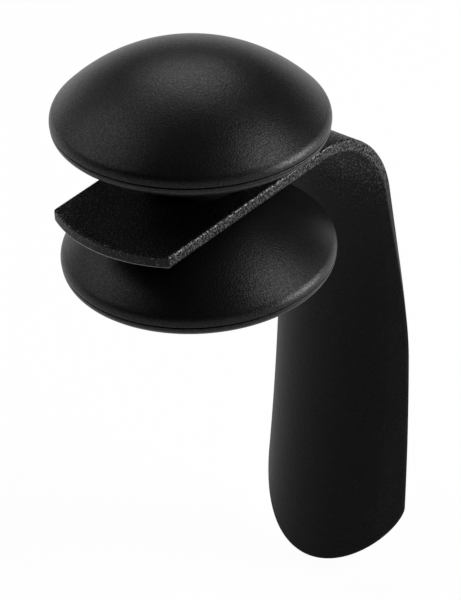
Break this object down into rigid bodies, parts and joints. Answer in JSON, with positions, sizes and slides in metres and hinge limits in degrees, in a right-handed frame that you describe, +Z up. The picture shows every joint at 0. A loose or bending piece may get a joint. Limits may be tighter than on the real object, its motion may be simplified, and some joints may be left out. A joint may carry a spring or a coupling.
{
  "type": "heel shaker",
  "caption": "Foot percussion shaker: two lens-shaped shot pods, one above and one below an L-shaped bracket whose long curved tongue slips down inside the heel of a shoe.",
  "frame": {"origin": "on the flat underside of the arm, on the centre plane, where the collar of the shoe comes up between the lower pod and the tongue", "axes": "+X forward to the wearer's toes, from the pods to the tongue; +Y to the wearer's left; +Z up, along the axis of the two pods"},
  "size_m": [0.0811, 0.06, 0.1523],
  "materials": {
    "bracket_plastic": "black moulded plastic: coarse spark-eroded grain on the arm, satin on the tongue",
    "pod_plastic": "satin-matt black moulded plastic with a fine grain",
    "zinc_steel": "zinc-plated fastener steel",
    "steel_shot": "polished steel balls"
  },
  "bodies": {
    "shaker": {"heel_bracket": "bracket_plastic", "upper_top_shell": "pod_plastic", "upper_base_shell": "pod_plastic", "lower_top_shell": "pod_plastic", "lower_base_shell": "pod_plastic", "clamp_bolt": "zinc_steel", "bolt_washer": "zinc_steel", "clamp_nut": "zinc_steel"},
    "upper_shot_01": {"upper_shot_01": "steel_shot"},
    "upper_shot_02": {"upper_shot_02": "steel_shot"},
    "upper_shot_03": {"upper_shot_03": "steel_shot"},
    "upper_shot_04": {"upper_shot_04": "steel_shot"},
    "upper_shot_05": {"upper_shot_05": "steel_shot"},
    "upper_shot_06": {"upper_shot_06": "steel_shot"},
    "upper_shot_07": {"upper_shot_07": "steel_shot"},
    "upper_shot_08": {"upper_shot_08": "steel_shot"},
    "upper_shot_09": {"upper_shot_09": "steel_shot"},
    "upper_shot_10": {"upper_shot_10": "steel_shot"},
    "upper_shot_11": {"upper_shot_11": "steel_shot"},
    "upper_shot_12": {"upper_shot_12": "steel_shot"},
    "lower_shot_01": {"lower_shot_01": "steel_shot"},
    "lower_shot_02": {"lower_shot_02": "steel_shot"},
    "lower_shot_03": {"lower_shot_03": "steel_shot"},
    "lower_shot_04": {"lower_shot_04": "steel_shot"},
    "lower_shot_05": {"lower_shot_05": "steel_shot"},
    "lower_shot_06": {"lower_shot_06": "steel_shot"},
    "lower_shot_07": {"lower_shot_07": "steel_shot"},
    "lower_shot_08": {"lower_shot_08": "steel_shot"},
    "lower_shot_09": {"lower_shot_09": "steel_shot"},
    "lower_shot_10": {"lower_shot_10": "steel_shot"},
    "lower_shot_11": {"lower_shot_11": "steel_shot"},
    "lower_shot_12": {"lower_shot_12": "steel_shot"}
  },
  "joints": [
    {"name": "upper_shot_01_hop", "type": "slide", "parent": "shaker", "child": "upper_shot_01", "axis": [0, 0, 1], "range_m": [0, 0.0157]},
    {"name": "upper_shot_02_hop", "type": "slide", "parent": "shaker", "child": "upper_shot_02", "axis": [0, 0, 1], "range_m": [0, 0.0157]},
    {"name": "upper_shot_03_hop", "type": "slide", "parent": "shaker", "child": "upper_shot_03", "axis": [0, 0, 1], "range_m": [0, 0.0156]},
    {"name": "upper_shot_04_hop", "type": "slide", "parent": "shaker", "child": "upper_shot_04", "axis": [0, 0, 1], "range_m": [0, 0.0154]},
    {"name": "upper_shot_05_hop", "type": "slide", "parent": "shaker", "child": "upper_shot_05", "axis": [0, 0, 1], "range_m": [0, 0.0153]},
    {"name": "upper_shot_06_hop", "type": "slide", "parent": "shaker", "child": "upper_shot_06", "axis": [0, 0, 1], "range_m": [0, 0.0152]},
    {"name": "upper_shot_07_hop", "type": "slide", "parent": "shaker", "child": "upper_shot_07", "axis": [0, 0, 1], "range_m": [0, 0.0152]},
    {"name": "upper_shot_08_hop", "type": "slide", "parent": "shaker", "child": "upper_shot_08", "axis": [0, 0, 1], "range_m": [0, 0.0153]},
    {"name": "upper_shot_09_hop", "type": "slide", "parent": "shaker", "child": "upper_shot_09", "axis": [0, 0, 1], "range_m": [0, 0.0154]},
    {"name": "upper_shot_10_hop", "type": "slide", "parent": "shaker", "child": "upper_shot_10", "axis": [0, 0, 1], "range_m": [0, 0.0156]},
    {"name": "upper_shot_11_hop", "type": "slide", "parent": "shaker", "child": "upper_shot_11", "axis": [0, 0, 1], "range_m": [0, 0.0157]},
    {"name": "upper_shot_12_hop", "type": "slide", "parent": "shaker", "child": "upper_shot_12", "axis": [0, 0, 1], "range_m": [0, 0.0157]},
    {"name": "lower_shot_01_hop", "type": "slide", "parent": "shaker", "child": "lower_shot_01", "axis": [0, 0, 1], "range_m": [0, 0.012]},
    {"name": "lower_shot_02_hop", "type": "slide", "parent": "shaker", "child": "lower_shot_02", "axis": [0, 0, 1], "range_m": [0, 0.012]},
    {"name": "lower_shot_03_hop", "type": "slide", "parent": "shaker", "child": "lower_shot_03", "axis": [0, 0, 1], "range_m": [0, 0.012]},
    {"name": "lower_shot_04_hop", "type": "slide", "parent": "shaker", "child": "lower_shot_04", "axis": [0, 0, 1], "range_m": [0, 0.0125]},
    {"name": "lower_shot_05_hop", "type": "slide", "parent": "shaker", "child": "lower_shot_05", "axis": [0, 0, 1], "range_m": [0, 0.0125]},
    {"name": "lower_shot_06_hop", "type": "slide", "parent": "shaker", "child": "lower_shot_06", "axis": [0, 0, 1], "range_m": [0, 0.0125]},
    {"name": "lower_shot_07_hop", "type": "slide", "parent": "shaker", "child": "lower_shot_07", "axis": [0, 0, 1], "range_m": [0, 0.0125]},
    {"name": "lower_shot_08_hop", "type": "slide", "parent": "shaker", "child": "lower_shot_08", "axis": [0, 0, 1], "range_m": [0, 0.0125]},
    {"name": "lower_shot_09_hop", "type": "slide", "parent": "shaker", "child": "lower_shot_09", "axis": [0, 0, 1], "range_m": [0, 0.0125]},
    {"name": "lower_shot_10_hop", "type": "slide", "parent": "shaker", "child": "lower_shot_10", "axis": [0, 0, 1], "range_m": [0, 0.0125]},
    {"name": "lower_shot_11_hop", "type": "slide", "parent": "shaker", "child": "lower_shot_11", "axis": [0, 0, 1], "range_m": [0, 0.0125]},
    {"name": "lower_shot_12_hop", "type": "slide", "parent": "shaker", "child": "lower_shot_12", "axis": [0, 0, 1], "range_m": [0, 0.0125]}
  ]
}
